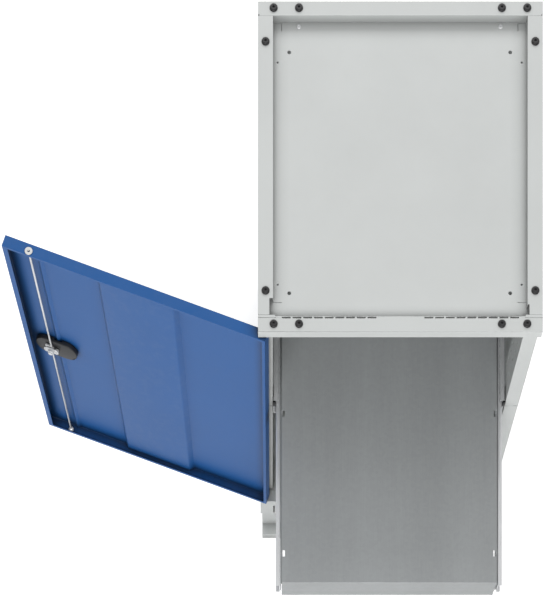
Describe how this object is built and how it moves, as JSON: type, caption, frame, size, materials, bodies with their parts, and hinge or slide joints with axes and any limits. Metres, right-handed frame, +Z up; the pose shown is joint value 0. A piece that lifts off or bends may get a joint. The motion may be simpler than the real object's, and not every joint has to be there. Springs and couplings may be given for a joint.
{
  "type": "workshop base cabinet",
  "caption": "Sheet-steel floor cabinet with a hinged door on a two-rod lock and a pull-out tray on ball runners, stored open.",
  "frame": {"origin": "on the floor, under the middle of the cabinet", "axes": "+X to the right, +Y to the back, +Z up; the door and tray face -Y"},
  "size_m": [0.9533, 0.912, 0.8032],
  "materials": {
    "grey_paint": "light grey powder coat, fine texture, semi-matt",
    "blue_paint": "mid blue powder coat, semi-gloss",
    "galvanised": "galvanised sheet, dull grey with a fine rolled grain",
    "zinc": "bright zinc plate",
    "black_plastic": "black moulded plastic, lightly grained",
    "white_plastic": "natural white moulded plastic"
  },
  "bodies": {
    "cabinet": {"back_panel": "grey_paint", "base_front_rail": "grey_paint", "base_pan": "grey_paint", "floor_panel": "grey_paint", "hinge_pin_lower": "zinc", "hinge_pin_upper": "zinc", "hinge_washer": "white_plastic", "kick_panel": "grey_paint", "plinth_rear": "grey_paint", "plinth_side_left": "grey_paint", "plinth_side_right": "grey_paint", "roof_panel": "grey_paint", "roof_rivet_left": "zinc", "roof_rivet_right": "zinc", "runner_bracket_left": "galvanised", "runner_bracket_right": "galvanised", "runner_fixed_left": "zinc", "runner_fixed_right": "zinc", "runner_stop_left": "black_plastic", "runner_stop_right": "black_plastic", "side_panel_left": "grey_paint", "side_panel_right": "grey_paint", "side_rail_left": "grey_paint", "side_rail_right": "grey_paint", "top_rail_front": "grey_paint", "top_rail_rear": "grey_paint", "top_screw_1": "black_plastic", "top_screw_10": "black_plastic", "top_screw_11": "black_plastic", "top_screw_12": "black_plastic", "top_screw_2": "black_plastic", "top_screw_3": "black_plastic", "top_screw_4": "black_plastic", "top_screw_5": "black_plastic", "top_screw_6": "black_plastic", "top_screw_7": "black_plastic", "top_screw_8": "black_plastic", "top_screw_9": "black_plastic"},
    "tray": {"tray": "galvanised", "runner_inner_left": "zinc", "runner_inner_right": "zinc"},
    "ball_cages": {"ball_cage_left": "zinc", "ball_cage_right": "zinc"},
    "door": {"door_panel": "blue_paint", "door_stiffener": "blue_paint", "lock_strip": "blue_paint", "rod_bush_upper": "white_plastic", "rod_bush_lower": "zinc", "lock_case": "black_plastic", "lock_rose": "black_plastic"},
    "lock": {"lock_knob": "black_plastic", "lock_spindle": "zinc", "lock_cam": "zinc", "lock_nut": "zinc"},
    "key": {"key_barrel": "zinc"},
    "upper_rod": {"rod_upper": "zinc"},
    "lower_rod": {"rod_lower": "zinc"}
  },
  "joints": [
    {"name": "tray_slide", "type": "slide", "parent": "cabinet", "child": "tray", "axis": [0, 1, 0], "range_m": [0, 0.35]},
    {"name": "ball_cage_slide", "type": "slide", "parent": "cabinet", "child": "ball_cages", "axis": [0, 1, 0], "range_m": [0, 0.176]},
    {"name": "door_hinge", "type": "hinge", "parent": "cabinet", "child": "door", "pos_m": [-0.2405, -0.2825, 0.478], "axis": [0, 0, 1], "range_deg": [0, 110.1]},
    {"name": "lock_turn", "type": "hinge", "parent": "door", "child": "lock", "pos_m": [-0.65536, -0.13654, 0.4782], "axis": [0.3437, 0.9391, 0], "range_deg": [0, 90]},
    {"name": "key_turn", "type": "hinge", "parent": "lock", "child": "key", "pos_m": [-0.65536, -0.13654, 0.4782], "axis": [0.3437, 0.9391, 0], "range_deg": [0, 90]},
    {"name": "upper_rod_slide", "type": "slide", "parent": "door", "child": "upper_rod", "axis": [0, 0, 1], "range_m": [0, 0.0106]},
    {"name": "lower_rod_slide", "type": "slide", "parent": "door", "child": "lower_rod", "axis": [0, 0, -1], "range_m": [0, 0.0106]}
  ],
  "couplings": [
    {"joint": "ball_cage_slide", "follows": "tray_slide", "ratio": 0.5},
    {"joint": "upper_rod_slide", "follows": "lock_turn", "m_per_rad": 0.0067},
    {"joint": "lower_rod_slide", "follows": "lock_turn", "m_per_rad": 0.0067}
  ]
}
